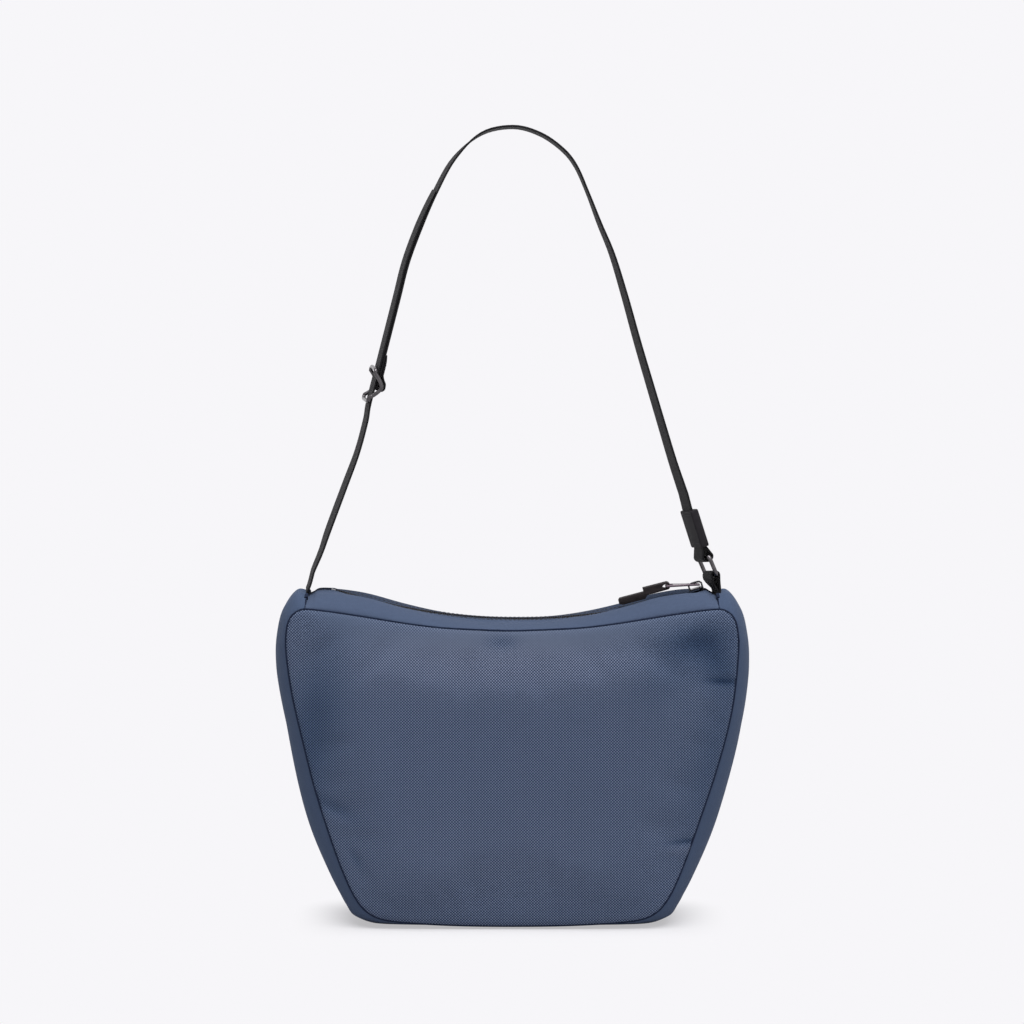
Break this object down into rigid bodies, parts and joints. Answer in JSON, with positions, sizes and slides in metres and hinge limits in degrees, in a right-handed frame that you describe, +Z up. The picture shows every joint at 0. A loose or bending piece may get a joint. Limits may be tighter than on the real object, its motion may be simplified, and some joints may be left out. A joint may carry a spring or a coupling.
{
  "type": "half moon bag",
  "caption": "Soft shoulder bag with domed panels, a crowned gusset, a dipping zip mouth and an adjustable webbing strap on a ring.",
  "frame": {"origin": "on the ground under the middle of the bag", "axes": "+X along the zip towards the slider and the ring, +Y through the bag from the front panel to the back panel, +Z up the strap"},
  "size_m": [0.32, 0.084, 0.5398],
  "materials": {
    "panel_fabric": "slate blue cloth with a coarse diagonal weave",
    "side_fabric": "slate blue plain cloth",
    "foam": "soft sheet foam, hidden",
    "lining_fabric": "thin dark lining cloth",
    "zip_tape": "black woven tape",
    "zip_coil": "black nylon coil",
    "gunmetal": "dark plated metal, polished",
    "tab_leather": "dark coated leather",
    "webbing": "black woven webbing"
  },
  "bodies": {
    "bag": {"front_panel": "panel_fabric", "back_panel": "panel_fabric", "front_padding": "foam", "back_padding": "foam", "lining_front": "lining_fabric", "lining_back": "lining_fabric", "lining_gusset": "lining_fabric", "gusset": "side_fabric", "top_panel_front": "side_fabric", "top_panel_rear": "side_fabric", "zip_tape_front": "zip_tape", "zip_tape_rear": "zip_tape", "zip_coil_front": "zip_coil", "zip_coil_rear": "zip_coil", "zip_stop": "gunmetal", "strap_root_left": "webbing", "loop_root_right": "webbing"},
    "slider": {"zip_slider": "gunmetal"},
    "puller": {"zip_puller": "gunmetal"},
    "tab": {"pull_tab": "tab_leather"},
    "strap": {"strap_lower": "webbing", "strap_upper": "webbing", "strap_end_wrap": "webbing", "ring_loop": "webbing"},
    "adjuster": {"adjuster_frame": "gunmetal", "adjuster_loop": "webbing"},
    "ring": {"strap_ring": "gunmetal"}
  },
  "joints": [
    {"name": "zip_slide", "type": "hinge", "parent": "bag", "child": "slider", "pos_m": [0.005, 0, 0.61095], "axis": [0, 1, 0], "range_deg": [0, 30]},
    {"name": "puller_flip", "type": "hinge", "parent": "slider", "child": "puller", "pos_m": [0.12656, 0, 0.23075], "axis": [0, 1, 0], "range_deg": [0, 60]},
    {"name": "tab_flip", "type": "hinge", "parent": "puller", "child": "tab", "pos_m": [0.10457, 0, 0.22998], "axis": [0, 1, 0], "range_deg": [0, 45]},
    {"name": "strap_swing", "type": "hinge", "parent": "bag", "child": "strap", "pos_m": [0, 0, 0.2375], "axis": [1, 0, 0], "range_deg": [-45, 45]},
    {"name": "adjuster_slide", "type": "slide", "parent": "strap", "child": "adjuster", "axis": [0.2497, 0, 0.9683], "range_m": [0, 0.05]},
    {"name": "ring_rock", "type": "hinge", "parent": "strap", "child": "ring", "pos_m": [0.1352, 0, 0.237], "axis": [-0.2537, 0.9613, -0.1077], "range_deg": [-3.5, 3.5]}
  ]
}
